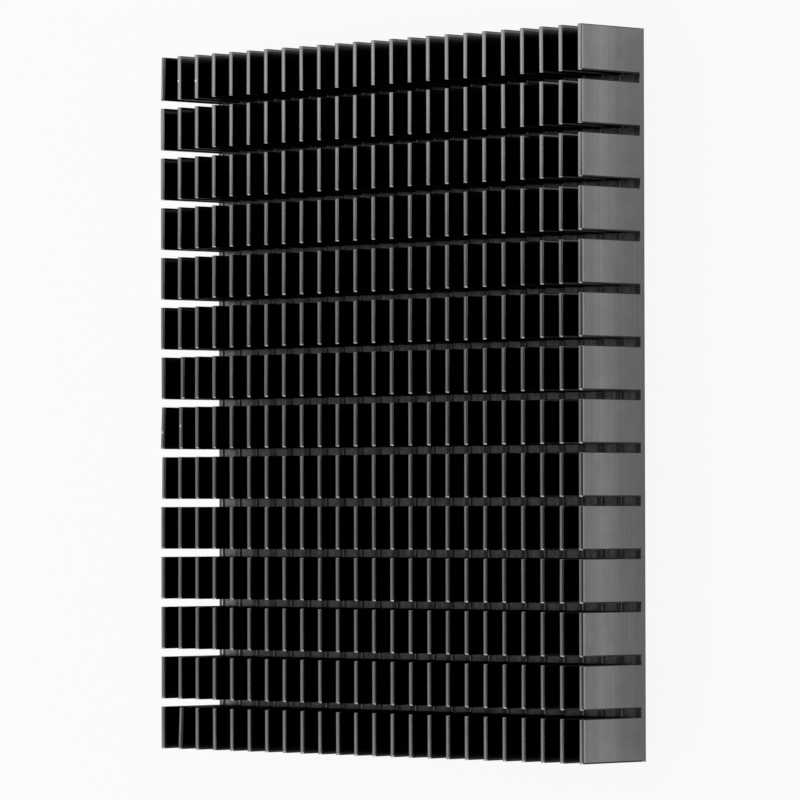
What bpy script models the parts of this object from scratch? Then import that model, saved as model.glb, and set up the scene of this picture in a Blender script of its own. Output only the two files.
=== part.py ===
"""Heat sink of black anodised aluminium: an extruded plate of fins, sawn across into pins.

It lies on its flat base with the fins up. X runs across the fins, Y along the
extrusion and Z up, and the origin is the centre of the underside.
"""

import math

import bmesh
import bpy
from mathutils import Matrix, Vector

MM = 0.001

# Driving sizes of the extrusion
PLATE_WIDTH = 100.0 * MM
PLATE_LENGTH = 120.0 * MM
OVERALL_HEIGHT = 15.0 * MM
BASE_THICKNESS = 0.75 * MM
FIN_COUNT = 24
FIN_THICKNESS = 0.9 * MM
TIP_CORNER_RADIUS = 0.2 * MM
ROOT_FILLET_RADIUS = 0.4 * MM

# Driving sizes of the saw cuts, which stop short of the floor and leave a stub of each fin.
# The last row is what the even cuts leave over, so it is a little longer than the others.
ROW_COUNT = 14
KERF = 1.4 * MM
STUB_HEIGHT = 0.25 * MM
LAST_ROW_EXTRA = 0.25 * MM

# Pins that were knocked: fin and row, counted from the left and the front, how far the tip
# leans to the right, and how far it is twisted in degrees
KNOCKED_PINS = (
    (0, ROW_COUNT - 1, 0.0, -4.0),
    (1, 7, 0.7 * MM, 0.0),
    (1, 6, 0.26 * MM, 0.0),
    (0, 7, 0.12 * MM, 0.0),
    (0, 6, 0.07 * MM, -2.2),
    (0, 5, 0.25 * MM, -0.7),
)

# Facets in the arc of each tip corner and each root fillet
TIP_CORNER_STEPS = 1
ROOT_FILLET_STEPS = 1

# How far a saw cut runs past the plate on its open sides
CUT_OVERRUN = 2.0 * MM

# Finish, linear colour
ANODISED_BLACK = (0.012, 0.012, 0.013, 1.0)
ANODISED_ROUGHNESS = 0.42
ANODISED_METALLIC = 0.6

FIN_PITCH = (PLATE_WIDTH - FIN_THICKNESS) / (FIN_COUNT - 1)
CUT_COUNT = ROW_COUNT - 1
ROW_LENGTH = (PLATE_LENGTH - LAST_ROW_EXTRA - CUT_COUNT * KERF) / ROW_COUNT
ROW_PITCH = ROW_LENGTH + KERF
CUT_FLOOR = BASE_THICKNESS + STUB_HEIGHT
PIN_HEIGHT = OVERALL_HEIGHT - CUT_FLOOR


def clear_scene():
    for old in list(bpy.data.objects):
        bpy.data.objects.remove(old, do_unlink=True)


def anodised_aluminium():
    material = bpy.data.materials.new("anodised_aluminium")
    material.use_nodes = True
    shader = material.node_tree.nodes["Principled BSDF"]
    shader.inputs["Base Color"].default_value = ANODISED_BLACK
    shader.inputs["Roughness"].default_value = ANODISED_ROUGHNESS
    shader.inputs["Metallic"].default_value = ANODISED_METALLIC
    return material


def arc(centre_x, centre_z, radius, start_deg, end_deg, steps):
    """Points of an arc in the section's plane, both ends included."""
    points = []
    for step in range(steps + 1):
        angle = math.radians(start_deg + (end_deg - start_deg) * step / steps)
        points.append((centre_x + radius * math.cos(angle), centre_z + radius * math.sin(angle)))
    return points


def fin_left(number):
    """X of the left wall of a fin, counted from the left."""
    return -PLATE_WIDTH / 2 + number * FIN_PITCH


def fin_outline(number):
    """Outline of one fin from its right root over the tip to its left root."""
    left = fin_left(number)
    right = left + FIN_THICKNESS
    corner_z = OVERALL_HEIGHT - TIP_CORNER_RADIUS
    root_z = BASE_THICKNESS + ROOT_FILLET_RADIUS
    points = []
    if number < FIN_COUNT - 1:
        points += arc(right + ROOT_FILLET_RADIUS, root_z, ROOT_FILLET_RADIUS, 270, 180, ROOT_FILLET_STEPS)
    points += arc(right - TIP_CORNER_RADIUS, corner_z, TIP_CORNER_RADIUS, 0, 90, TIP_CORNER_STEPS)
    points += arc(left + TIP_CORNER_RADIUS, corner_z, TIP_CORNER_RADIUS, 90, 180, TIP_CORNER_STEPS)
    if number > 0:
        points += arc(left - ROOT_FILLET_RADIUS, root_z, ROOT_FILLET_RADIUS, 0, -90, ROOT_FILLET_STEPS)
    return points


def comb_section():
    """Closed outline of the extrusion: the flat underside, then the fins from right to left."""
    points = [(-PLATE_WIDTH / 2, 0.0), (PLATE_WIDTH / 2, 0.0)]
    for number in reversed(range(FIN_COUNT)):
        points += fin_outline(number)
    return points


def extrude_plate():
    """The comb section as one face, extruded over the length of the plate."""
    shape = bmesh.new()
    corners = [shape.verts.new((x, -PLATE_LENGTH / 2, z)) for x, z in comb_section()]
    face = shape.faces.new(corners)
    extruded = bmesh.ops.extrude_face_region(shape, geom=[face])
    moved = [item for item in extruded["geom"] if isinstance(item, bmesh.types.BMVert)]
    bmesh.ops.translate(shape, verts=moved, vec=(0.0, PLATE_LENGTH, 0.0))
    bmesh.ops.recalc_face_normals(shape, faces=shape.faces)
    mesh = bpy.data.meshes.new("heat_sink")
    shape.to_mesh(mesh)
    shape.free()
    return mesh


def cut_centre(number):
    """Y of the middle of a saw cut, counted from the front row."""
    return -PLATE_LENGTH / 2 + (number + 1) * ROW_PITCH - KERF / 2


def saw_cuts():
    """One box for each pass of the saw, through all the fins and down to the stubs."""
    width = PLATE_WIDTH + 2 * CUT_OVERRUN
    height = OVERALL_HEIGHT + CUT_OVERRUN - CUT_FLOOR
    size = Matrix.Diagonal((width, KERF, height, 1.0))
    shape = bmesh.new()
    for number in range(CUT_COUNT):
        place = Matrix.Translation((0.0, cut_centre(number), CUT_FLOOR + height / 2))
        bmesh.ops.create_cube(shape, size=1.0, matrix=place @ size)
    mesh = bpy.data.meshes.new("saw_cuts")
    shape.to_mesh(mesh)
    shape.free()
    cutter = bpy.data.objects.new("saw_cuts", mesh)
    cutter.hide_render = True
    cutter.display_type = "WIRE"
    return cutter


def cut_plate(plate, cutter):
    """Takes the saw cuts out of the plate and keeps the result as its own mesh."""
    cut = plate.modifiers.new("saw_cuts", "BOOLEAN")
    cut.operation = "DIFFERENCE"
    cut.solver = "EXACT"
    cut.object = cutter
    depsgraph = bpy.context.evaluated_depsgraph_get()
    mesh = bpy.data.meshes.new_from_object(plate.evaluated_get(depsgraph))
    mesh.name = "heat_sink"
    plate.modifiers.clear()
    plate.data = mesh


def pin_centre(fin, row):
    """Middle of one pin, seen from above."""
    start = -PLATE_LENGTH / 2 + row * ROW_PITCH
    end = PLATE_LENGTH / 2 if row == ROW_COUNT - 1 else start + ROW_LENGTH
    return Vector((fin_left(fin) + FIN_THICKNESS / 2, (start + end) / 2))


def knock_pin(mesh, centre, lean, twist_deg):
    """Leans one pin to the right and turns it about its own upright axis.

    Both grow evenly from nothing at its stub to the full amount at its tip.
    """
    for vertex in mesh.vertices:
        offset = vertex.co.xy - centre
        share = (vertex.co.z - CUT_FLOOR) / PIN_HEIGHT
        if share <= 0 or abs(offset.x) > FIN_PITCH / 2 or abs(offset.y) > ROW_PITCH / 2:
            continue
        offset.rotate(Matrix.Rotation(math.radians(twist_deg) * share, 2))
        vertex.co.xy = centre + offset + Vector((lean * share, 0.0))


def build():
    clear_scene()
    collection = bpy.context.scene.collection
    plate = bpy.data.objects.new("heat_sink", extrude_plate())
    collection.objects.link(plate)
    cutter = saw_cuts()
    collection.objects.link(cutter)
    cut_plate(plate, cutter)
    for fin, row, lean, twist_deg in KNOCKED_PINS:
        knock_pin(plate.data, pin_centre(fin, row), lean, twist_deg)
    plate.data.materials.clear()
    plate.data.materials.append(anodised_aluminium())


build()
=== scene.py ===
"""Black anodised aluminium heat sink, lying on its base, seen from above its right-hand side.

X runs across the fins, Y along the extrusion, which is up in the picture, and Z up
from the underside through the pin tips. All sizes are in metres.
"""

import math

import bpy
import numpy as np
from mathutils import Matrix, Vector


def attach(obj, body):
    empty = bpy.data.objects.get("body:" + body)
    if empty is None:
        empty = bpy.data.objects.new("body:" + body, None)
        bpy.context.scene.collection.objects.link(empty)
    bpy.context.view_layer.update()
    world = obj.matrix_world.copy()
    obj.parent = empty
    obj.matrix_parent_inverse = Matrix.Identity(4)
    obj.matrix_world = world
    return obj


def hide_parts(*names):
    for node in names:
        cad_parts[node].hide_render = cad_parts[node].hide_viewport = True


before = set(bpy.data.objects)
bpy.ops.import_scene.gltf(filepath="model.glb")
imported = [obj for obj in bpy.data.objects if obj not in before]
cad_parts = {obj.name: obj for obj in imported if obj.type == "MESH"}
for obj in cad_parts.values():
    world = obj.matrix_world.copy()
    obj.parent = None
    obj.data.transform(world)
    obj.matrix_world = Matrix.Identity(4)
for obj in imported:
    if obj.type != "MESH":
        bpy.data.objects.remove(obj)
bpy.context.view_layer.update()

MM = 0.001

# The plate's own sizes, the same as in the part's source
PLATE_WIDTH = 100.0 * MM
PLATE_LENGTH = 120.0 * MM
OVERALL_HEIGHT = 15.0 * MM
BASE_THICKNESS = 0.75 * MM
FIN_COUNT = 24
FIN_THICKNESS = 0.9 * MM
ROOT_FILLET_RADIUS = 0.4 * MM
ROW_COUNT = 14
KERF = 1.4 * MM
STUB_HEIGHT = 0.25 * MM
LAST_ROW_EXTRA = 0.25 * MM

# Pins that were knocked: fin and row, counted from 0 at the left and at the front, how far the tip
# leans to the right, and in degrees its anticlockwise twist and how its top slopes down to the right
# and to the front
KNOCKED_PINS = (
    (0, ROW_COUNT - 1, 0.0, -4.0, 6.0, 2.5),
    (1, 7, 0.7 * MM, 0.0, 3.0, 0.0),
    (1, 6, 0.26 * MM, 0.0, 1.0, 0.0),
    (0, 7, 0.12 * MM, 0.0, 4.0, 0.0),
    (0, 6, 0.07 * MM, -2.2, 4.0, 0.0),
    (0, 5, 0.25 * MM, -0.7, 3.5, 0.0),
    (1, 0, 0.0, 0.0, 6.0, -2.5),
)

FIN_PITCH = (PLATE_WIDTH - FIN_THICKNESS) / (FIN_COUNT - 1)
ROW_LENGTH = (PLATE_LENGTH - LAST_ROW_EXTRA - (ROW_COUNT - 1) * KERF) / ROW_COUNT
ROW_PITCH = ROW_LENGTH + KERF
CUT_FLOOR = BASE_THICKNESS + STUB_HEIGHT
PIN_HEIGHT = OVERALL_HEIGHT - CUT_FLOOR

# Angle on a root fillet at which the saw's floor crosses it, below the wall's foot
FILLET_CUT_DEG = math.degrees(math.asin((STUB_HEIGHT - ROOT_FILLET_RADIUS) / ROOT_FILLET_RADIUS))

# The tips' worn corners, how far the tips are crowned, and the broken edges at both sawn ends of
# a pin: their length along Y, their depth on the tips, and on the walls as a share of that
TIP_CORNER_RADIUS = 0.1 * MM
TIP_CROWN = 0.034 * MM
FRONT_EDGE_LENGTH = 0.25 * MM
FRONT_EDGE_DEPTH = 0.07 * MM
BACK_EDGE_LENGTH = 0.12 * MM
BACK_EDGE_DEPTH = 0.1 * MM
WALL_EDGE_SHARE = 0.35

# Height at which the tips' corners begin
TIP_FROM = OVERALL_HEIGHT - TIP_CROWN - TIP_CORNER_RADIUS

# How far the other pins lean at their tips, are twisted and slope at the top, one sigma, and how far
# the tops of the first fin slope down to the right. The slopes are chosen for how bright the tips look
LEAN_SIGMA = 0.015 * MM
TWIST_SIGMA_DEG = 0.15
SLOPE_SIGMA_DEG = 0.4
FIRST_FIN_SLOPE_DEG = 3.3
KNOCK_SEED = 11

# Facets along each stretch of a pin's outline and along its length
ROOT_STEPS = 2
WALL_STEPS = 2
CORNER_STEPS = 4
CROWN_STEPS = 3
EDGE_STEPS = 3
LENGTH_STEPS = 1

# Edges sharper than this stay sharp when the surface is shaded smooth
SHARP_EDGE_DEG = 35.0

# Corners of the faces become one where they are equal to this many decimals of a metre
WELD_DECIMALS = 7

# Material numbers on the body
EXTRUDED, SAWN, BROKEN_EDGE, GAP_FLOOR = range(4)

# Grain of the finishes: die lines, cloudy anodising, grit and blotches of the gap floors, the saw's
# tooth marks with its radius, and the pale patches on the broken edges, partly rubbed metal and
# partly painted highlight
DIE_LINE = 0.3 * MM
DIE_LINE_RUN = 60.0 * MM
CLOUD = 3.0 * MM
FLOOR_GRAIN = 0.35 * MM
FLOOR_BLOTCH = 0.9 * MM
FLOOR_BLOTCH_RUN = 3.0 * MM
FLOOR_GRAIN_SHARE = 0.5
TOOTH_MARK = 0.25 * MM
BLADE_RADIUS = 50.0 * MM
EDGE_PATCH_AND_HIGHLIGHT_GRAIN = 0.8 * MM

# Depths of the die lines, of the grit on the gap floors and of the tooth marks
DIE_LINE_DEPTH = 0.0015 * MM
FLOOR_GRIT_DEPTH = 0.006 * MM
TOOTH_MARK_DEPTH = 0.004 * MM

# Tone of the extruded walls by height, from the underside at 0 to the tips at 1. The stops at 0.977
# and 0.988 are a painted highlight along the top of each wall, just below the tips' corners
DIE_BANDS_AND_TOP_HIGHLIGHT = (
    (0.00, "#808080"),
    (0.42, "#848484"),
    (0.55, "#8d8d8d"),
    (0.70, "#929292"),
    (0.85, "#898989"),
    (0.970, "#868686"),
    (0.977, "#acacac"),
    (0.988, "#acacac"),
    (0.993, "#787878"),
)

# Tones of the darkest and the palest die lines and clouds, against the band that they lie in
DARK_LINE_TONE = 0.78
PALE_LINE_TONE = 1.22
DARK_CLOUD_TONE = 0.86
PALE_CLOUD_TONE = 1.14

# Where along the plate the extruded metal is painted paler towards its back end, and how much: a
# painted gradient of light. This tone and those below are matched to the picture by trial, and no
# cause for them is known
PAINTED_LIGHT_FROM = 10.0 * MM
PAINTED_LIGHT_TO = 60.0 * MM
PAINTED_LIGHT_TONE = 1.16

# Painted shade on the walls in the gaps: their tone against that of the tips and the outer wall
GAP_SHADE_TONE = 0.68

# Roughness of the die-smooth walls, duller tips, gap floors, sawn faces and broken edges
WALL_ROUGHNESS = 0.1
TIP_ROUGHNESS = 0.165
FLOOR_ROUGHNESS = 0.28
SAWN_ROUGHNESS = 0.36
EDGE_ROUGHNESS = 0.28

# Darkest and palest colours of the gap floors, the sawn faces and the broken edges, and bare metal.
# The broken edges' palest colour is partly rubbed metal and partly a painted highlight, and the bare
# metal also colours the painted highlight along the stubs' right edges
FLOOR_DARK = "#464646"
FLOOR_PALE = "#7e7e7e"
SAWN_DARK = "#242424"
SAWN_PALE = "#505050"
EDGE_DARK = "#484848"
EDGE_PALE_AND_HIGHLIGHT = "#acacac"
BARE_METAL_AND_HIGHLIGHT = "#c8c8c8"

# Values of the noise between which the gap floors turn from dark to pale
FLOOR_NOISE_LOW = 0.3
FLOOR_NOISE_HIGH = 0.7

# Nicks in the tips, with bare metal
NICK_RADIUS = 0.22 * MM
NICKS = (
    (-45.5 * MM, 55.7 * MM, OVERALL_HEIGHT),
    (-41.1 * MM, 55.5 * MM, OVERALL_HEIGHT),
    (-49.6 * MM, -5.2 * MM, OVERALL_HEIGHT),
    (-45.0 * MM, -4.1 * MM, OVERALL_HEIGHT),
)

# A painted highlight along a burr at the right edge of every stub: where it lies, measured from the
# fin's left wall, the length of its breaks, and the values of the noise between which it turns from
# broken to whole. It is painted dimmer in the middle of the plate than towards the ends
STUB_HIGHLIGHT_FROM = 0.68 * MM
STUB_HIGHLIGHT_TO = 0.9 * MM
STUB_HIGHLIGHT_BREAK_RUN = 3.0 * MM
BREAK_NOISE_LOW = 0.34
BREAK_NOISE_HIGH = 0.54
DIMMER_HIGHLIGHT_WITHIN = 10.0 * MM
FULL_HIGHLIGHT_BEYOND = 50.0 * MM
MIDDLE_HIGHLIGHT_SHARE = 0.3

# How bright the broken edges are on the walls, a painted shade, the gap floors beside each fin's
# left foot, a painted shade in that fillet, and the tops of the stubs, against their colour elsewhere
WALL_EDGE_SHADE_TONE = 0.2
LEFT_FOOT_SHADE_TONE = 0.6
STUB_TOP_TONE = 2.0

# What lies this close to the height of the cuts' floor is a stub's top
STUB_TOP_WITHIN = STUB_HEIGHT / 50

# Camera: its aim lies on the tips' plane, and it is turned from upright towards +X. The last two
# are the nearest and the farthest that it sees
CAMERA_AIM = (8.47 * MM, -0.44 * MM, OVERALL_HEIGHT)
CAMERA_DISTANCE = 985.4 * MM
CAMERA_TURN_DEG = 44.69
CAMERA_DIP_DEG = 1.12
CAMERA_ROLL_DEG = -0.12
CAMERA_LENS_MM = 265.9
CAMERA_SENSOR_MM = 36.0
CAMERA_SEES_FROM = 0.05
CAMERA_SEES_TO = 60.0

# Room and floor: how much of the floor's look is plain white, seen directly and in the metal
ROOM_BRIGHTNESS = 0.12
WHITE = "#ffffff"
FLOOR_WHITE = "#f0f0f0"
FLOOR_GLOW_SEEN = 0.92
FLOOR_GLOW_IN_METAL = 0.5
FLOOR_HALF_WIDTH = 12.0

# Level soft panels: name, near left corner, far right corner, height, and brightness, where 1
# looks white
PANELS = (
    ("left_panel", (-2.2, -0.5), (-0.57, 0.5), 0.8, 0.68),
    ("back_panel", (-0.75, 0.078), (0.1, 0.6), 0.5, 1.1),
    ("front_panel", (-0.75, -0.8), (-0.1, -0.1), 0.5, 1.75),
)

# Sockets of a Mix node, by number because their names repeat: its share, two numbers and two
# colours. The last is the mixed colour, among its outputs
SHARE, NUMBER_A, NUMBER_B, COLOUR_A, COLOUR_B = 0, 2, 3, 6, 7
MIXED_COLOUR = 2


def linear(hex_colour):
    """An sRGB hex colour as linear RGBA, by the sRGB curve."""
    values = [int(hex_colour[k:k + 2], 16) / 255 for k in (1, 3, 5)]
    return tuple(v / 12.92 if v <= 0.04045 else ((v + 0.055) / 1.055) ** 2.4 for v in values) + (1.0,)


def add_node(tree, kind, inputs=None, **settings):
    """Adds a node with its settings and links.

    An input, given by name or number, takes a value, a socket, or a node for its first output.
    """
    made = tree.nodes.new(kind)
    for name, value in settings.items():
        setattr(made, name, value)
    for name, value in (inputs or {}).items():
        if isinstance(value, bpy.types.Node):
            value = value.outputs[0]
        if isinstance(value, bpy.types.NodeSocket):
            tree.links.new(value, made.inputs[name])
        else:
            made.inputs[name].default_value = value
    return made


def fin_lefts():
    """X of every fin's left wall: the plate's left edge plus the fin's number times the pitch."""
    return -PLATE_WIDTH / 2 + FIN_PITCH * np.arange(FIN_COUNT)


def row_starts():
    """Y of every row's front end: the plate's front edge plus the row's number times the pitch."""
    return -PLATE_LENGTH / 2 + ROW_PITCH * np.arange(ROW_COUNT)


def row_ends():
    """Y of every row's back end, one row length on; the last row was cut off a little longer."""
    ends = row_starts() + ROW_LENGTH
    ends[-1] += LAST_ROW_EXTRA
    return ends


def arc(centre_x, centre_z, radius, start_deg, end_deg, steps):
    """Points of an arc: centre plus radius times (cos, sin) of evenly spaced angles."""
    angles = np.radians(np.linspace(start_deg, end_deg, steps + 1))
    return np.stack([centre_x + radius * np.cos(angles), centre_z + radius * np.sin(angles)], 1)


def half_outline():
    """Left half of a pin's outline above the saw's floor, with x from the fin's left wall.

    It runs up the top of the root fillet, the straight wall, the quarter round of the tip's
    corner and the left half of the crown, which falls with the square of the distance from
    its middle. With the points come their outward directions, and the share of the broken
    edge's depth that each takes: none at the foot, part on the wall and all on the tip.
    """
    wall_low = BASE_THICKNESS + ROOT_FILLET_RADIUS
    root = arc(-ROOT_FILLET_RADIUS, wall_low, ROOT_FILLET_RADIUS, FILLET_CUT_DEG, 0, ROOT_STEPS)
    wall_z = np.linspace(wall_low, TIP_FROM, WALL_STEPS + 1)[1:-1]
    wall = np.stack([np.zeros_like(wall_z), wall_z], 1)
    corner = arc(TIP_CORNER_RADIUS, TIP_FROM, TIP_CORNER_RADIUS, 180, 90, CORNER_STEPS)
    across = np.linspace(-1, 1, 2 * CROWN_STEPS)[1:CROWN_STEPS]
    crown_x = FIN_THICKNESS / 2 + (FIN_THICKNESS / 2 - TIP_CORNER_RADIUS) * across
    crown = np.stack([crown_x, OVERALL_HEIGHT - TIP_CROWN * across ** 2], 1)
    points = np.concatenate([root, wall, corner, crown])
    outward = np.concatenate([
        np.tile((-1.0, 0.0), (len(root) + len(wall), 1)),
        (corner - (TIP_CORNER_RADIUS, TIP_FROM)) / TIP_CORNER_RADIUS,
        np.tile((0.0, 1.0), (len(crown), 1)),
    ])
    share = np.concatenate([
        np.linspace(0, WALL_EDGE_SHARE, len(root)),
        np.full(len(wall), WALL_EDGE_SHARE),
        np.linspace(WALL_EDGE_SHARE, 1, len(corner)),
        np.ones(len(crown)),
    ])
    return points, outward, share


def row_stations():
    """Y of the stations of every row, (rows, stations), and how far the outline is drawn in there.

    The broken edge at each end falls as a parabola: the outline is drawn in by the edge's
    depth times the square of how far out along the edge a station lies, from 0 to 1.
    """
    out = np.linspace(0, 1, EDGE_STEPS + 1)
    starts, ends = row_starts(), row_ends()
    front = starts[:, None] + FRONT_EDGE_LENGTH * (1 - out[::-1])
    middle = np.linspace(front[:, -1], ends - BACK_EDGE_LENGTH, LENGTH_STEPS + 1)[1:-1].T
    back = ends[:, None] - BACK_EDGE_LENGTH * (1 - out)
    fall = out ** 2
    level = np.zeros(LENGTH_STEPS - 1)
    drawn = np.concatenate([FRONT_EDGE_DEPTH * fall[::-1], level, BACK_EDGE_DEPTH * fall])
    return np.concatenate([front, middle, back], 1), drawn


def knocks():
    """Lean at the tip, twist and slopes of the top of every pin, each (fins, rows).

    They are normal deviates times their sigmas, except that no pin slopes to the front. The outer
    fins lean inwards only and aren't twisted, so that they stay within the plate's width. The
    knocked pins then get their own values.
    """
    random = np.random.default_rng(KNOCK_SEED)
    sigmas = (LEAN_SIGMA, TWIST_SIGMA_DEG, SLOPE_SIGMA_DEG)
    lean, twist, slope = (sigma * random.normal(size=(FIN_COUNT, ROW_COUNT)) for sigma in sigmas)
    nod = np.zeros_like(slope)
    lean[0], lean[-1] = np.abs(lean[0]), -np.abs(lean[-1])
    twist[[0, -1]] = 0.0
    slope[0] += FIRST_FIN_SLOPE_DEG
    for fin, row, *knock in KNOCKED_PINS:
        lean[fin, row], twist[fin, row], slope[fin, row], nod[fin, row] = knock
    return lean, np.radians(twist), np.tan(np.radians(slope)), np.tan(np.radians(nod))


def pin_points():
    """Every pin as a grid: (fin, row, outline point, station, xyz).

    The outline runs from the left foot over the tip to the right foot. At each station it is
    drawn in along its outward directions. Then the pin leans, twists and has its top sloped,
    all in proportion to height, and the slopes only take height away.
    """
    half, outward, edge_share = half_outline()
    stations, drawn = row_stations()
    left = half[:, None, :] - outward[:, None, :] * (edge_share[:, None] * drawn)[..., None]
    right = left[::-1].copy()
    right[..., 0] = FIN_THICKNESS - right[..., 0]
    outline = np.concatenate([left, right])
    grid = np.zeros((FIN_COUNT, ROW_COUNT) + outline.shape[:2] + (3,))
    grid[..., 0] = fin_lefts()[:, None, None, None] + outline[..., 0]
    grid[..., 1] = stations[:, None, :]
    grid[..., 2] = outline[..., 1]
    # The two outer walls run straight down, without a fillet
    grid[0, :, :ROOT_STEPS, :, 0] = -PLATE_WIDTH / 2
    grid[-1, :, -ROOT_STEPS:, :, 0] = PLATE_WIDTH / 2
    lean, twist, slope, nod = (knock[:, :, None, None] for knock in knocks())
    share = (grid[..., 2] - CUT_FLOOR) / PIN_HEIGHT
    centre_x = (fin_lefts() + FIN_THICKNESS / 2)[:, None, None, None]
    centre_y = ((row_starts() + row_ends()) / 2)[:, None, None]
    x, y = grid[..., 0] - centre_x, grid[..., 1] - centre_y
    turn = twist * share
    grid[..., 0] = centre_x + x * np.cos(turn) - y * np.sin(turn) + lean * share
    grid[..., 1] = centre_y + x * np.sin(turn) + y * np.cos(turn)
    fall = x * slope + np.abs(slope) * FIN_THICKNESS / 2 - y * nod + np.abs(nod) * ROW_LENGTH / 2
    grid[..., 2] -= fall * share
    return grid


def quads(grid):
    """Four corners of every cell of one or more grids; the last three axes are (rows, columns, xyz)."""
    near, far = grid[..., :-1, :, :], grid[..., 1:, :, :]
    cells = np.stack([near[..., :-1, :], far[..., :-1, :], far[..., 1:, :], near[..., 1:, :]], -2)
    return cells.reshape(-1, 4, 3)


def pin_faces():
    """Walls and tips of all pins, their broken edges, and the ladder of quads across each sawn end."""
    grid = pin_points()
    stations = grid.shape[3]
    walls = quads(grid[..., EDGE_STEPS:stations - EDGE_STEPS, :])
    edges = [quads(grid[..., :EDGE_STEPS + 1, :]), quads(grid[..., stations - EDGE_STEPS - 1:, :])]
    count = grid.shape[2] // 2
    ends = []
    for station, faces_front in ((0, True), (stations - 1, False)):
        rungs = np.stack([grid[:, :, :count, station], grid[:, :, :count - 1:-1, station]], -2)
        faces = quads(rungs)
        ends.append(faces[:, ::-1] if faces_front else faces)
    return [(walls, EXTRUDED), (np.concatenate(edges), BROKEN_EDGE), (np.concatenate(ends), SAWN)]


def floor_profiles():
    """Profiles of the base between fins, left to right: root fillet down, floor, root fillet up."""
    low_z = BASE_THICKNESS + ROOT_FILLET_RADIUS
    down = arc(ROOT_FILLET_RADIUS, low_z, ROOT_FILLET_RADIUS, 180 - FILLET_CUT_DEG, 270, ROOT_STEPS + 1)
    up = down[::-1] * (-1, 1) + (FIN_PITCH - FIN_THICKNESS, 0)
    profiles = np.repeat(np.concatenate([down, up])[None], FIN_COUNT - 1, 0)
    profiles[..., 0] += (fin_lefts()[:-1] + FIN_THICKNESS)[:, None]
    return profiles


def all_stations():
    """Y of every station of every row, along the whole plate."""
    return row_stations()[0].ravel()


def sweep(profiles, lengths):
    """Carries profiles (n, points, xz) along Y: grids of (n, points, stations, xyz)."""
    grid = np.zeros(profiles.shape[:2] + (len(lengths), 3))
    grid[..., 0] = profiles[..., 0, None]
    grid[..., 1] = lengths
    grid[..., 2] = profiles[..., 1, None]
    return grid


def base_faces():
    """Floors and fillets between the fins, the base's two outer walls and the stubs' sawn tops."""
    lengths = all_stations()
    half = PLATE_WIDTH / 2
    outer = np.array([[(-half, 0.0), (-half, CUT_FLOOR)], [(half, CUT_FLOOR), (half, 0.0)]])
    profiles = floor_profiles()
    left = np.concatenate([[-half], profiles[:, -1, 0]])
    right = np.concatenate([profiles[:, 0, 0], [half]])
    tops = np.stack([np.stack([left, right], 1), np.full((FIN_COUNT, 2), CUT_FLOOR)], -1)
    cuts = zip(row_ends()[:-1], row_starts()[1:])
    stubs = [quads(sweep(tops, np.array(cut))) for cut in cuts]
    floors, walls = quads(sweep(profiles, lengths)), quads(sweep(outer, lengths))
    return [(floors, GAP_FLOOR), (walls, EXTRUDED), (np.concatenate(stubs), SAWN)]


def cap_outlines():
    """The two ends of the base and its underside, each as one flat outline."""
    half = PLATE_WIDTH / 2
    top = np.concatenate([[(-half, CUT_FLOOR)], floor_profiles().reshape(-1, 2), [(half, CUT_FLOOR)]])
    outline = np.concatenate([[(-half, 0.0)], top, [(half, 0.0)]])
    front = np.insert(outline, 1, -PLATE_LENGTH / 2, axis=1)
    back = np.insert(outline, 1, PLATE_LENGTH / 2, axis=1)
    lengths = all_stations()
    left = np.stack([np.full_like(lengths, -half), lengths, np.zeros_like(lengths)], 1)
    right = left[::-1] * (-1, 1, 1)
    return [(front[::-1], SAWN), (back, SAWN), (np.concatenate([left, right]), EXTRUDED)]


def weld(points):
    """Joins corners that are equal once rounded: the points that are left and each corner's number."""
    rounded = np.round(points, WELD_DECIMALS)
    _, first, number = np.unique(rounded, axis=0, return_index=True, return_inverse=True)
    return points[first], number.ravel()


def build_mesh(name, patches, outlines):
    """Welds quads and flat outlines into one mesh, with the material number of each.

    A quad with two corners in one place has no area and is left out.
    """
    faces = np.concatenate([cells for cells, _ in patches])
    finish = np.concatenate([np.full(len(cells), number) for cells, number in patches])
    corners = np.concatenate([faces.reshape(-1, 3)] + [points for points, _ in outlines])
    points, number = weld(corners)
    four = number[:len(faces) * 4].reshape(-1, 4)
    whole = (np.diff(np.sort(four, 1), axis=1) > 0).all(1)
    polygons = four[whole].tolist()
    finish = finish[whole].tolist()
    at = len(faces) * 4
    for outline, material in outlines:
        polygons.append(number[at:at + len(outline)].tolist())
        finish.append(material)
        at += len(outline)
    mesh = bpy.data.meshes.new(name)
    mesh.from_pydata(points.tolist(), [], polygons)
    mesh.polygons.foreach_set("material_index", np.array(finish, np.int32))
    mesh.polygons.foreach_set("use_smooth", np.ones(len(polygons), bool))
    mesh.set_sharp_from_angle(angle=math.radians(SHARP_EDGE_DEG))
    mesh.update()
    return mesh


def new_metal(name):
    """A new metal: the material, its node tree and its shader."""
    material = bpy.data.materials.new(name)
    material.use_nodes = True
    shader = material.node_tree.nodes["Principled BSDF"]
    shader.inputs["Metallic"].default_value = 1.0
    return material, material.node_tree, shader


def die_lines(tree, where):
    """Fine lines along Y that the die drags into the metal.

    They are noise with a grain of DIE_LINE across and DIE_LINE_RUN along.
    """
    stretched = add_node(tree, "ShaderNodeMapping", {
        "Vector": where, "Scale": (1 / DIE_LINE, 1 / DIE_LINE_RUN, 1 / DIE_LINE)})
    return add_node(tree, "ShaderNodeTexNoise", {
        "Vector": stretched, "Scale": 1.0, "Detail": 3.0, "Roughness": 0.65})


def nicked(tree, where):
    """1 within any of the nicks, 0 elsewhere."""
    found = 0.0
    for place in NICKS:
        apart = add_node(tree, "ShaderNodeVectorMath", {0: where, 1: place}, operation="DISTANCE")
        spot = add_node(tree, "ShaderNodeMath", {0: apart.outputs["Value"], 1: NICK_RADIUS},
                        operation="LESS_THAN")
        found = add_node(tree, "ShaderNodeMath", {0: found, 1: spot}, operation="MAXIMUM")
    return found


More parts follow.
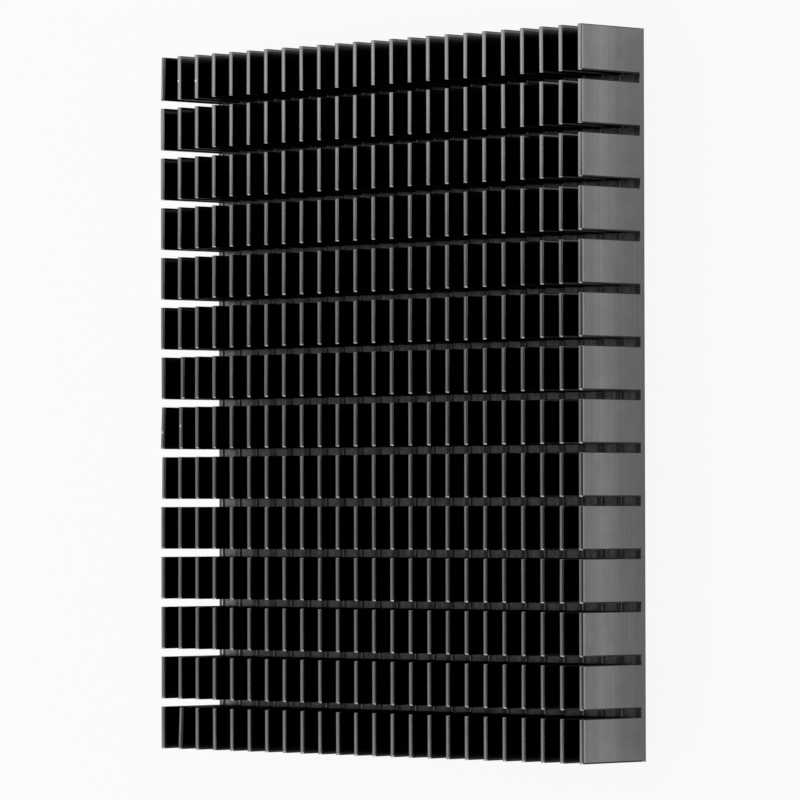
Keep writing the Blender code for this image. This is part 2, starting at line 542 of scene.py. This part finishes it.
def extruded_finish():
    """Black anodised aluminium as extruded: satin, with fine die lines and broad die bands by height.

    The eye sees soft dark greys in bands and faint clouds along the side wall, slightly duller
    tips, and bright bare nicks on a few of them. The tone by height also holds a painted highlight
    along the top of each wall, just below the tips' corners. The metal is painted a little paler
    towards the plate's back end, a painted gradient of light, and darker on the walls in the gaps,
    a painted shade.
    """
    material, tree, shader = new_metal("anodised_extruded")
    where = add_node(tree, "ShaderNodeTexCoord").outputs["Object"]
    axes = add_node(tree, "ShaderNodeSeparateXYZ", {0: where}).outputs
    lines = die_lines(tree, where)
    clouds = add_node(tree, "ShaderNodeTexNoise", {"Vector": where, "Scale": 1 / CLOUD, "Detail": 2.0})

    height = add_node(tree, "ShaderNodeMath", {0: axes["Z"], 1: OVERALL_HEIGHT}, operation="DIVIDE")
    # Tone by height: die bands, a painted highlight along the top of each wall, and the tips
    bands = add_node(tree, "ShaderNodeValToRGB", {"Fac": height})
    stops = bands.color_ramp.elements
    while len(stops) < len(DIE_BANDS_AND_TOP_HIGHLIGHT):
        stops.new(1.0)
    for stop, (place, grey) in zip(stops, DIE_BANDS_AND_TOP_HIGHLIGHT):
        stop.position = place
        stop.color = linear(grey)
    line_tone = add_node(tree, "ShaderNodeMapRange", {
        "Value": lines, "To Min": DARK_LINE_TONE, "To Max": PALE_LINE_TONE})
    cloud_tone = add_node(tree, "ShaderNodeMapRange", {
        "Value": clouds, "To Min": DARK_CLOUD_TONE, "To Max": PALE_CLOUD_TONE})
    fine_tone = add_node(tree, "ShaderNodeMath", {0: line_tone, 1: cloud_tone}, operation="MULTIPLY")
    # Painted gradient of light: the metal is paler towards the plate's back end
    painted_back_light = add_node(tree, "ShaderNodeMapRange", {
        "Value": axes["Y"], "From Min": PAINTED_LIGHT_FROM, "From Max": PAINTED_LIGHT_TO,
        "To Min": 1.0, "To Max": PAINTED_LIGHT_TONE})
    tone = add_node(tree, "ShaderNodeMath", {0: fine_tone, 1: painted_back_light}, operation="MULTIPLY")
    tip = add_node(tree, "ShaderNodeMath", {0: axes["Z"], 1: TIP_FROM}, operation="GREATER_THAN")
    outer = add_node(tree, "ShaderNodeMath", {0: axes["X"], 1: PLATE_WIDTH / 2 - TIP_CORNER_RADIUS},
                     operation="GREATER_THAN")
    in_the_open = add_node(tree, "ShaderNodeMath", {0: tip, 1: outer}, operation="MAXIMUM")
    colour = add_node(tree, "ShaderNodeVectorMath", {0: bands, "Scale": tone}, operation="SCALE")
    # Painted shade: the walls in the gaps are darker than the tips and the outer wall
    painted_gap_shade = add_node(tree, "ShaderNodeMapRange", {
        "Value": in_the_open, "To Min": GAP_SHADE_TONE, "To Max": 1.0})
    toned = add_node(tree, "ShaderNodeVectorMath", {0: colour, "Scale": painted_gap_shade}, operation="SCALE")
    bare = nicked(tree, where)
    mixed = add_node(tree, "ShaderNodeMix", {
        SHARE: bare, COLOUR_A: toned, COLOUR_B: linear(BARE_METAL_AND_HIGHLIGHT)}, data_type="RGBA")
    tree.links.new(mixed.outputs[MIXED_COLOUR], shader.inputs["Base Color"])

    rough = add_node(tree, "ShaderNodeMapRange", {
        "Value": tip, "To Min": WALL_ROUGHNESS, "To Max": TIP_ROUGHNESS})
    tree.links.new(rough.outputs[0], shader.inputs["Roughness"])

    bump = add_node(tree, "ShaderNodeBump", {
        "Height": lines, "Distance": DIE_LINE_DEPTH, "Strength": 1.0})
    tree.links.new(bump.outputs[0], shader.inputs["Normal"])
    return material


def across_pitch(tree, axes):
    """How far right of the last fin's left wall: x from the plate's left edge, modulo the pitch."""
    from_first = add_node(tree, "ShaderNodeMath", {0: axes["X"], 1: PLATE_WIDTH / 2}, operation="ADD")
    return add_node(tree, "ShaderNodeMath", {0: from_first, 1: FIN_PITCH}, operation="MODULO")


def floor_finish():
    """Anodised floors between the fins, as extruded, but rougher and blotchier than the walls.

    The eye sees dull dark floors, a little gritty, with blotches drawn out along Y. The root
    fillet at each fin's left foot is painted darker, a painted shade.
    """
    material, tree, shader = new_metal("anodised_gap_floor")
    shader.inputs["Roughness"].default_value = FLOOR_ROUGHNESS
    where = add_node(tree, "ShaderNodeTexCoord").outputs["Object"]
    axes = add_node(tree, "ShaderNodeSeparateXYZ", {0: where}).outputs
    grain = add_node(tree, "ShaderNodeTexNoise", {
        "Vector": where, "Scale": 1 / FLOOR_GRAIN, "Detail": 2.0})
    drawn = add_node(tree, "ShaderNodeMapping", {
        "Vector": where, "Scale": (1 / FLOOR_BLOTCH, 1 / FLOOR_BLOTCH_RUN, 1 / FLOOR_BLOTCH)})
    blotch = add_node(tree, "ShaderNodeTexNoise", {"Vector": drawn, "Scale": 1.0, "Detail": 3.0})
    uneven = add_node(tree, "ShaderNodeMix", {
        SHARE: FLOOR_GRAIN_SHARE, NUMBER_A: blotch, NUMBER_B: grain})
    pale = add_node(tree, "ShaderNodeMapRange", {
        "Value": uneven, "From Min": FLOOR_NOISE_LOW, "From Max": FLOOR_NOISE_HIGH})
    colour = add_node(tree, "ShaderNodeMix", {
        SHARE: pale, COLOUR_A: linear(FLOOR_DARK), COLOUR_B: linear(FLOOR_PALE)}, data_type="RGBA")
    # Painted shade in the root fillet at each fin's left foot
    tone = add_node(tree, "ShaderNodeMapRange", {
        "Value": across_pitch(tree, axes), "From Min": FIN_PITCH - 2 * ROOT_FILLET_RADIUS,
        "From Max": FIN_PITCH - ROOT_FILLET_RADIUS, "To Min": 1.0, "To Max": LEFT_FOOT_SHADE_TONE})
    toned = add_node(tree, "ShaderNodeVectorMath", {
        0: colour.outputs[MIXED_COLOUR], "Scale": tone}, operation="SCALE")
    tree.links.new(toned.outputs[0], shader.inputs["Base Color"])
    bump = add_node(tree, "ShaderNodeBump", {
        "Height": grain, "Distance": FLOOR_GRIT_DEPTH, "Strength": 1.0})
    tree.links.new(bump.outputs[0], shader.inputs["Normal"])
    return material


def sawn_finish():
    """Sawn faces under the anodising, with marks of the blade's teeth, which travel along X.

    A tooth mark is an arc of the blade's rim, so the marks are noise over x plus the half chord
    of the blade at that height: the root of its radius squared less the drop from its centre
    squared. Real marks are finer than the picture can show, so these are coarser. The eye sees
    dull near-black faces with faint arcs. The tops of the stubs are paler, and along their right
    edges a burr carries a painted highlight in the bare metal's colour, with breaks, and painted
    dimmer in the middle of the plate.
    """
    material, tree, shader = new_metal("anodised_sawn")
    where = add_node(tree, "ShaderNodeTexCoord").outputs["Object"]
    axes = add_node(tree, "ShaderNodeSeparateXYZ", {0: where}).outputs
    drop = add_node(tree, "ShaderNodeMath", {0: CUT_FLOOR + BLADE_RADIUS, 1: axes["Z"]},
                    operation="SUBTRACT")
    drop_square = add_node(tree, "ShaderNodeMath", {0: drop, 1: 2.0}, operation="POWER")
    square = add_node(tree, "ShaderNodeMath", {0: BLADE_RADIUS ** 2, 1: drop_square},
                      operation="SUBTRACT")
    in_blade = add_node(tree, "ShaderNodeMath", {0: square, 1: 0.0}, operation="MAXIMUM")
    half_chord = add_node(tree, "ShaderNodeMath", {0: in_blade}, operation="SQRT")
    travel = add_node(tree, "ShaderNodeMath", {0: axes["X"], 1: half_chord}, operation="ADD")
    marks = add_node(tree, "ShaderNodeTexNoise", {"W": travel, "Scale": 1 / TOOTH_MARK, "Detail": 1.0},
                     noise_dimensions="1D")
    plain = add_node(tree, "ShaderNodeMix", {
        SHARE: marks, COLOUR_A: linear(SAWN_DARK), COLOUR_B: linear(SAWN_PALE)}, data_type="RGBA")

    on_stub = add_node(tree, "ShaderNodeMath", {0: axes["Z"], 1: CUT_FLOOR, 2: STUB_TOP_WITHIN},
                       operation="COMPARE")
    tone = add_node(tree, "ShaderNodeMapRange", {
        "Value": on_stub, "To Min": 1.0, "To Max": STUB_TOP_TONE})
    toned = add_node(tree, "ShaderNodeVectorMath", {
        0: plain.outputs[MIXED_COLOUR], "Scale": tone}, operation="SCALE")
    # Painted highlight along the burr at each stub's right edge, with breaks, dimmer in the middle of
    # the plate
    middle = (STUB_HIGHLIGHT_FROM + STUB_HIGHLIGHT_TO) / 2
    at_line = add_node(tree, "ShaderNodeMath", {
        0: across_pitch(tree, axes), 1: middle, 2: STUB_HIGHLIGHT_TO - middle}, operation="COMPARE")
    breaks = add_node(tree, "ShaderNodeTexNoise", {
        "Vector": where, "Scale": 1 / STUB_HIGHLIGHT_BREAK_RUN, "Detail": 1.0})
    unbroken = add_node(tree, "ShaderNodeMapRange", {
        "Value": breaks, "From Min": BREAK_NOISE_LOW, "From Max": BREAK_NOISE_HIGH})
    line = add_node(tree, "ShaderNodeMath", {0: at_line, 1: on_stub}, operation="MULTIPLY")
    from_middle = add_node(tree, "ShaderNodeMath", {0: axes["Y"]}, operation="ABSOLUTE")
    by_place = add_node(tree, "ShaderNodeMapRange", {
        "Value": from_middle, "From Min": DIMMER_HIGHLIGHT_WITHIN, "From Max": FULL_HIGHLIGHT_BEYOND,
        "To Min": MIDDLE_HIGHLIGHT_SHARE, "To Max": 1.0})
    wear_and_highlight = add_node(tree, "ShaderNodeMath", {0: unbroken, 1: by_place}, operation="MULTIPLY")
    painted_stub_highlight = add_node(tree, "ShaderNodeMath", {0: line, 1: wear_and_highlight}, operation="MULTIPLY")
    colour = add_node(tree, "ShaderNodeMix", {
        SHARE: painted_stub_highlight, COLOUR_A: toned, COLOUR_B: linear(BARE_METAL_AND_HIGHLIGHT)}, data_type="RGBA")
    tree.links.new(colour.outputs[MIXED_COLOUR], shader.inputs["Base Color"])
    shader.inputs["Roughness"].default_value = SAWN_ROUGHNESS
    bump = add_node(tree, "ShaderNodeBump", {
        "Height": marks, "Distance": TOOTH_MARK_DEPTH, "Strength": 1.0})
    tree.links.new(bump.outputs[0], shader.inputs["Normal"])
    return material


def edge_finish():
    """Anodised sawn edges, broken a little, and paler in patches.

    The paler patches are partly rubbed metal and partly a painted highlight. The eye sees small
    bright ends on the tips, partly painted highlight, and dark edges on the walls below, a painted
    shade.
    """
    material, tree, shader = new_metal("anodised_broken_edge")
    shader.inputs["Roughness"].default_value = EDGE_ROUGHNESS
    where = add_node(tree, "ShaderNodeTexCoord").outputs["Object"]
    # Pale patches, partly rubbed metal and partly a painted highlight
    wear_and_highlight = add_node(tree, "ShaderNodeTexNoise", {
        "Vector": where, "Scale": 1 / EDGE_PATCH_AND_HIGHLIGHT_GRAIN, "Detail": 2.0})
    colour = add_node(tree, "ShaderNodeMix", {
        SHARE: wear_and_highlight, COLOUR_A: linear(EDGE_DARK), COLOUR_B: linear(EDGE_PALE_AND_HIGHLIGHT)}, data_type="RGBA")
    axes = add_node(tree, "ShaderNodeSeparateXYZ", {0: where}).outputs
    # Painted shade: the broken edges on the walls below the tips' corners are darker than on the tips
    tone = add_node(tree, "ShaderNodeMapRange", {
        "Value": axes["Z"], "From Min": TIP_FROM, "From Max": TIP_FROM + TIP_CORNER_RADIUS / 2,
        "To Min": WALL_EDGE_SHADE_TONE, "To Max": 1.0})
    toned = add_node(tree, "ShaderNodeVectorMath", {
        0: colour.outputs[MIXED_COLOUR], "Scale": tone}, operation="SCALE")
    tree.links.new(toned.outputs[0], shader.inputs["Base Color"])
    return material


def make_body():
    """The whole heat sink as one welded mesh with its four finishes, in place of the plain solid."""
    mesh = build_mesh("finned_body", pin_faces() + base_faces(), cap_outlines())
    for material in (extruded_finish(), sawn_finish(), edge_finish(), floor_finish()):
        mesh.materials.append(material)
    body = bpy.data.objects.new("finned_body", mesh)
    bpy.context.scene.collection.objects.link(body)
    flat = body.modifiers.new("flats_stay_flat", "WEIGHTED_NORMAL")
    flat.keep_sharp = True
    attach(body, "root")
    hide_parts("heat_sink")


def white_table():
    """A white laminate table top, matt, with a faint shadow.

    The eye sees a near plain white ground, which is also what the metal mirrors.
    """
    material = bpy.data.materials.new("white_table")
    material.use_nodes = True
    tree = material.node_tree
    tree.nodes.clear()
    path = add_node(tree, "ShaderNodeLightPath").outputs
    direct = add_node(tree, "ShaderNodeMath", {
        0: path["Is Camera Ray"], 1: path["Is Transmission Ray"]}, operation="MAXIMUM")
    seen = add_node(tree, "ShaderNodeMath", {0: direct, 1: FLOOR_GLOW_SEEN}, operation="MULTIPLY")
    mirrored = add_node(tree, "ShaderNodeMath", {0: path["Is Glossy Ray"], 1: FLOOR_GLOW_IN_METAL},
                        operation="MULTIPLY")
    share = add_node(tree, "ShaderNodeMath", {0: seen, 1: mirrored}, operation="MAXIMUM")
    matt = add_node(tree, "ShaderNodeBsdfDiffuse", {"Color": linear(FLOOR_WHITE)})
    glow = add_node(tree, "ShaderNodeEmission", {"Color": linear(WHITE), "Strength": 1.0})
    mixed = add_node(tree, "ShaderNodeMixShader", {"Fac": share, 1: matt, 2: glow})
    add_node(tree, "ShaderNodeOutputMaterial", {"Surface": mixed})
    return material


def make_floor():
    """The table top that the heat sink lies on: one flat square at height 0."""
    half = FLOOR_HALF_WIDTH
    corners = [(-half, -half, 0), (half, -half, 0), (half, half, 0), (-half, half, 0)]
    mesh = bpy.data.meshes.new("table_top")
    mesh.from_pydata(corners, [], [(0, 1, 2, 3)])
    mesh.materials.append(white_table())
    floor = bpy.data.objects.new("table_top", mesh)
    bpy.context.scene.collection.objects.link(floor)


def soft_panel(name, low, high, height, brightness):
    """A level lamp over the plate, facing down; its power is brightness times pi times its area."""
    lamp = bpy.data.lights.new(name, "AREA")
    lamp.shape = "RECTANGLE"
    lamp.size, lamp.size_y = high[0] - low[0], high[1] - low[1]
    lamp.energy = brightness * math.pi * lamp.size * lamp.size_y
    lit = bpy.data.objects.new(name, lamp)
    lit.location = ((low[0] + high[0]) / 2, (low[1] + high[1]) / 2, height)
    bpy.context.scene.collection.objects.link(lit)


def make_light():
    """A dim even room and the soft panels."""
    world = bpy.data.worlds.new("studio")
    bpy.context.scene.world = world
    world.use_nodes = True
    room = world.node_tree.nodes["Background"]
    room.inputs["Color"].default_value = linear(WHITE)
    room.inputs["Strength"].default_value = ROOM_BRIGHTNESS
    for panel in PANELS:
        soft_panel(*panel)


def make_camera():
    """Looks at the tips' plane along the turned and dipped axis, with +Y up, rolled a little."""
    data = bpy.data.cameras.new("camera")
    data.sensor_width = CAMERA_SENSOR_MM
    data.lens = CAMERA_LENS_MM
    data.clip_start = CAMERA_SEES_FROM
    data.clip_end = CAMERA_SEES_TO
    camera = bpy.data.objects.new("camera", data)
    turn, dip = math.radians(CAMERA_TURN_DEG), math.radians(CAMERA_DIP_DEG)
    back = Vector((math.sin(turn) * math.cos(dip), -math.sin(dip), math.cos(turn) * math.cos(dip)))
    up = (Vector((0, 1, 0)) - back * back.y).normalized()
    up.rotate(Matrix.Rotation(math.radians(CAMERA_ROLL_DEG), 3, back))
    right = up.cross(back)
    turned = Matrix((right, up, back)).transposed().to_4x4()
    camera.matrix_world = Matrix.Translation(Vector(CAMERA_AIM) + back * CAMERA_DISTANCE) @ turned
    bpy.context.scene.collection.objects.link(camera)
    bpy.context.scene.camera = camera


make_camera()
make_body()
make_floor()
make_light()
bpy.context.scene.view_settings.view_transform = "Standard"
